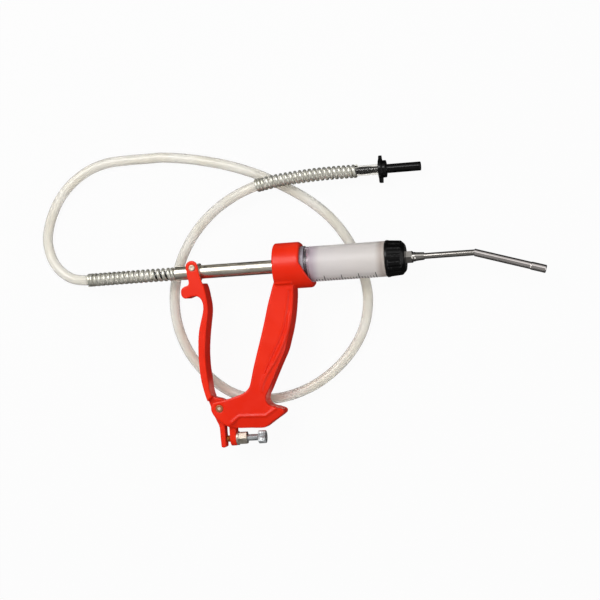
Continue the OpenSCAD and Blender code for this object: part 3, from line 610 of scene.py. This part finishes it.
# The barrel: a frosted clear plastic tube with a step at its front end, held by a grey steel ring and a
# gasket in the collar. Its scale is printed in black along one side.
TINT_START = 7.0
TINT_END = 77.0
TINT_WAVE = 0.04
# Colours along the barrel: the lilac at the clear rear end is a painted reflection of the blue-grey seen
# there, and the dark band just behind the front step is painted shade next to the black cap. Between them is
# the frosted plastic's own pinkish white.
BARREL_SHADE_AND_REFLECTION_STOPS = [
    (9, (0.66, 0.56, 0.62)), (13, (0.7, 0.61, 0.67)), (18.5, (0.9, 0.86, 0.85)), (66, (0.91, 0.87, 0.84)),
    (70.8, (0.63, 0.55, 0.5)), (74, (0.8, 0.73, 0.68)),
]
FROST_START = 9
FROST_END = 12


def along(material):
    """How far along the gun a point of the piece lies, in metres."""
    nodes, links = material.node_tree.nodes, material.node_tree.links
    place = nodes.new("ShaderNodeTexCoord")
    split = nodes.new("ShaderNodeSeparateXYZ")
    links.new(place.outputs["Object"], split.inputs["Vector"])
    return split.outputs["X"]


frosted, shader = finish("frosted_barrel", (0.91, 0.87, 0.85), IOR=1.46)
links = frosted.node_tree.links
wavy = frosted.node_tree.nodes.new("ShaderNodeMath")
wavy.operation = "MULTIPLY_ADD"
wavy.inputs[1].default_value = TINT_WAVE
links.new(grain(frosted, 50), wavy.inputs[0])
gone = ranged(frosted, along(frosted), at(TINT_START, 0).x, at(TINT_END, 0).x,
              -TINT_WAVE / 2, 1 - TINT_WAVE / 2)
links.new(gone, wavy.inputs[2])
# These stops paint the reflection at the rear and the shade at the front step into the base colour.
painted_stops = [((x - TINT_START) / (TINT_END - TINT_START), tint) for x, tint in BARREL_SHADE_AND_REFLECTION_STOPS]
coloured(frosted, shader, wavy.outputs["Value"], *painted_stops)
for socket, clear, cloudy in (("Roughness", 0.2, 0.42), ("Transmission Weight", 0.96, 0.5)):
    frost = ranged(frosted, along(frosted), at(FROST_START, 0).x, at(FROST_END, 0).x, clear, cloudy)
    links.new(frost, shader.inputs[socket])
relief(frosted, shader, grain(frosted, 2500), 0.00003, 0.3)
keep(frosted, "barrel")
ring_steel, shader = mottled("ring_steel", (0.36, 0.35, 0.39), ((0.32, 0.31, 0.35), (0.4, 0.39, 0.43), 200),
                             (0.6, 0.75, 700), Metallic=0.7)
keep(ring_steel, "barrel_ring")

ink, shader = mottled("scale_ink", (0.015, 0.015, 0.018), ((0.01, 0.01, 0.012), (0.04, 0.04, 0.045), 900),
                      (0.4, 0.6, 1500))
INK_LIFT = 0.00002
INK_THICK = 0.00006
TICK_FIRST = 21.6
TICK_STEP = 2.42
TICK_COUNT = 22
TICKS_BEFORE = 3
LARGE_EVERY = 6
LARGE_HALF, LARGE_ARC = 0.3, 40
SMALL_HALF, SMALL_ARC = 0.22, 24
tick_start = math.radians(-86)
barrel_r = (barrel_high.y - barrel_low.y) / 2
rim = Vector((0, math.sin(tick_start), math.cos(tick_start))) * (barrel_r + INK_LIFT)
scale = bmesh.new()
for i in range(-TICKS_BEFORE, TICK_COUNT - TICKS_BEFORE):
    large = i % LARGE_EVERY == 0
    x = TICK_FIRST + i * TICK_STEP
    wide = LARGE_HALF if large else SMALL_HALF
    arc = math.radians(LARGE_ARC if large else SMALL_ARC)
    ends = [scale.verts.new(at(x + side * wide, 0) + rim) for side in (-1, 1)]
    edge = scale.edges.new(ends)
    bmesh.ops.spin(scale, geom=[*ends, edge], cent=at(0, 0), axis=(-1, 0, 0), angle=arc, steps=6)
bmesh.ops.recalc_face_normals(scale, faces=scale.faces)
bmesh.ops.solidify(scale, geom=scale.faces[:], thickness=INK_THICK)
barrel_scale = made("barrel_scale", scale, ink, "black_plastic")
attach(barrel_scale, "gun")

# The piston and the valves: white moulded plastic. A brass nut holds the piston on the rod, and seals of
# black rubber close the piston in the barrel and the barrel's two ends.
white_plastic, shader = mottled("white_plastic", (0.8, 0.78, 0.76),
                                ((0.74, 0.72, 0.7), (0.84, 0.83, 0.81), 120), (0.35, 0.5, 500))
rubber, shader = mottled("seal_rubber", (0.03, 0.028, 0.03), ((0.02, 0.018, 0.02), (0.05, 0.047, 0.05), 300),
                         (0.6, 0.8, 900))
keep(white_plastic, "piston", "inlet_valve", "outlet_valve")
keep(brass, "piston_nut")
keep(rubber, "barrel_gasket", "piston_seal", "cap_seal")

# The springs inside: plated wire. The long one in the barrel sends the piston back, the two small ones close
# the valves in the piston and in the nozzle's base.
SPRING_POINTS = 200


def inner_spring(name, node, body, turns, gauge):
    """A coil of wire of that radius in a node's place."""
    low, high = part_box(node)
    radius = (high.y - low.y) / 2 - gauge
    middle = (low + high) / 2
    ends = [Vector((x, middle.y, 0)) for x in (low.x + gauge, high.x - gauge)]
    way = [ends[0].lerp(ends[1], i / SPRING_POINTS) for i in range(SPRING_POINTS + 1)]
    shape = wire(wound(way, radius, turns + 2, 1, 1, CLOSED_UP * gauge)[0], gauge)
    spring = made(name, shape, spring_steel, "spring_wire", node)
    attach(spring, body)
    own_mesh(spring)


inner_spring("barrel_spring", "return_spring", "gun", 9, 0.0007)
inner_spring("inlet_spring", "inlet_valve_spring", "plunger", 6, 0.00025)
inner_spring("outlet_spring", "outlet_valve_spring", "cap_and_nozzle", 4, 0.00025)

# The front cap: black moulded plastic with grip ribs round it, screwed on the barrel's neck. It holds the
# nozzle, which turns with it.
cap = made("front_cap_moulding", eased("front_cap", voxel=0.00032, rounds=4), black_nylon, "black_plastic",
           "front_cap", sharp=180)
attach(cap, "cap_and_nozzle")

# The nozzle: a turned base with a hexagon, screwed in the cap, a thin tube soldered in its taper, and a wider
# spout with a sleeve on its open end. All are nickel plated; the spout and its sleeve are painted paler, as a
# painted highlight.
NICKEL_SPREAD = 0.06
NICKEL_POLISH = (0.04, 0.1, 500, 3, (0.2, 1, 1))


def nickel(name, middle, *nodes):
    """Polished nickel of about that reflectance, on some of the nozzle's pieces."""
    dull, bright = (tuple(share + side * NICKEL_SPREAD for share in middle) for side in (-1, 1))
    plate, shader = mottled(name, middle, (dull, bright, 120), NICKEL_POLISH, Metallic=1.0)
    keep(plate, *nodes)


# One nickel in two copies: a plain one for the base and tube, and a paler one for the spout and tip that is a
# painted highlight.
nickel("plain_nickel", (0.57, 0.54, 0.5), "nozzle_base", "nozzle_tube")
nickel("painted_highlight_nickel", (0.86, 0.8, 0.77), "nozzle_spout", "nozzle_tip")

# The dose screw: a plated screw with a knurled head in the handle's lug, locked by a nut on a washer. The
# lever's tail meets its brass tip.
SCREW_R = 2.9
SCREW_PITCH = 1.0
SCREW_DEPTH = 0.45
SCREW_STEPS = 24
SHAFT_IN_HEAD = 0.3
HEAD_R = 5.5
HEAD_LEN = 6.5
HEAD_BEVEL = 0.0006
KNURLS = 30
KNURL_DEPTH = 0.45
TIP_LEN = 3.5
TIP_EDGE = 0.5
screw_low, screw_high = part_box("dose_screw")
screw_tip = Vector((screw_low.x, (screw_low.y + screw_high.y) / 2, 0))
shaft_len = (screw_high.x - screw_low.x) * 1000 - HEAD_LEN
screw = bmesh.new()
turns = int(shaft_len / SCREW_PITCH) + 3
zigzag = []
for i in range(2 * turns + 1):
    r = SCREW_R - (SCREW_DEPTH if i % 2 else 0)
    zigzag.append(screw.verts.new(screw_tip + Vector(((i / 2 - 2) * SCREW_PITCH, r, 0)) / 1000))
edges = [screw.edges.new(pair) for pair in zip(zigzag, zigzag[1:])]
bmesh.ops.spin(screw, geom=[*zigzag, *edges], cent=screw_tip, axis=(1, 0, 0), angle=2 * math.pi,
               dvec=(SCREW_PITCH / (1000 * SCREW_STEPS), 0, 0), steps=SCREW_STEPS)
bmesh.ops.remove_doubles(screw, verts=screw.verts, dist=2e-6)
for place, way in ((0.0, -1), (shaft_len + SHAFT_IN_HEAD, 1)):
    cut = bmesh.ops.bisect_plane(screw, geom=[*screw.verts, *screw.edges, *screw.faces],
                                 plane_co=screw_tip + Vector((place, 0, 0)) / 1000, plane_no=(way, 0, 0),
                                 clear_outer=True)
    cut_rim = [e for e in cut["geom_cut"] if isinstance(e, bmesh.types.BMEdge)]
    bmesh.ops.contextual_create(screw, geom=cut_rim)
bmesh.ops.recalc_face_normals(screw, faces=screw.faces)
knurled = bmesh.new()
ring = bmesh.ops.create_circle(knurled, cap_ends=True, radius=HEAD_R / 1000, segments=2 * KNURLS)["verts"]
for i, vert in enumerate(sorted(ring, key=lambda v: math.atan2(v.co.y, v.co.x))):
    if i % 2:
        vert.co *= 1 - KNURL_DEPTH / HEAD_R
top = bmesh.ops.extrude_face_region(knurled, geom=knurled.faces[:])
bmesh.ops.translate(knurled, verts=[v for v in top["geom"] if isinstance(v, bmesh.types.BMVert)],
                    vec=(0, 0, HEAD_LEN / 1000))
rims = [e for e in knurled.edges if abs(e.verts[0].co.z - e.verts[1].co.z) < 1e-6]
bmesh.ops.bevel(knurled, geom=rims, offset=HEAD_BEVEL, offset_type="OFFSET", segments=2, profile=0.5,
                affect="EDGES", material=-1, clamp_overlap=True)
bmesh.ops.recalc_face_normals(knurled, faces=knurled.faces)
bmesh.ops.transform(knurled, verts=knurled.verts,
                    matrix=Matrix.Translation(screw_tip + Vector((shaft_len / 1000, 0, 0)))
                    @ Matrix.Rotation(math.pi / 2, 4, "Y"))
head_mesh = bpy.data.meshes.new("screw_head")
knurled.to_mesh(head_mesh)
knurled.free()
screw.from_mesh(head_mesh)
bpy.data.meshes.remove(head_mesh)
zinc, shader = finish("screw_zinc", (0.55, 0.57, 0.58), Metallic=0.8)
tip_end = screw_tip.x + TIP_LEN / 1000
past_tip = ranged(zinc, along(zinc), tip_end, tip_end + TIP_EDGE / 1000)
coloured(zinc, shader, past_tip, (0, (0.55, 0.3, 0.09)), (1, (0.55, 0.57, 0.58)))
vary(zinc, shader, "Roughness", grain(zinc, 900), 0.3, 0.45)
dose_screw = made("dose_screw_turned", screw, zinc, "plated_steel", "dose_screw", sharp=30)
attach(dose_screw, "dose_stop")
keep(plated_steel, "dose_washer")
lock_nut = made("lock_nut_chamfered", eased("dose_lock_nut", voxel=0.0002, rounds=6), plated_steel,
                "plated_steel", "dose_lock_nut", sharp=180)
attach(lock_nut, "lock_nut")
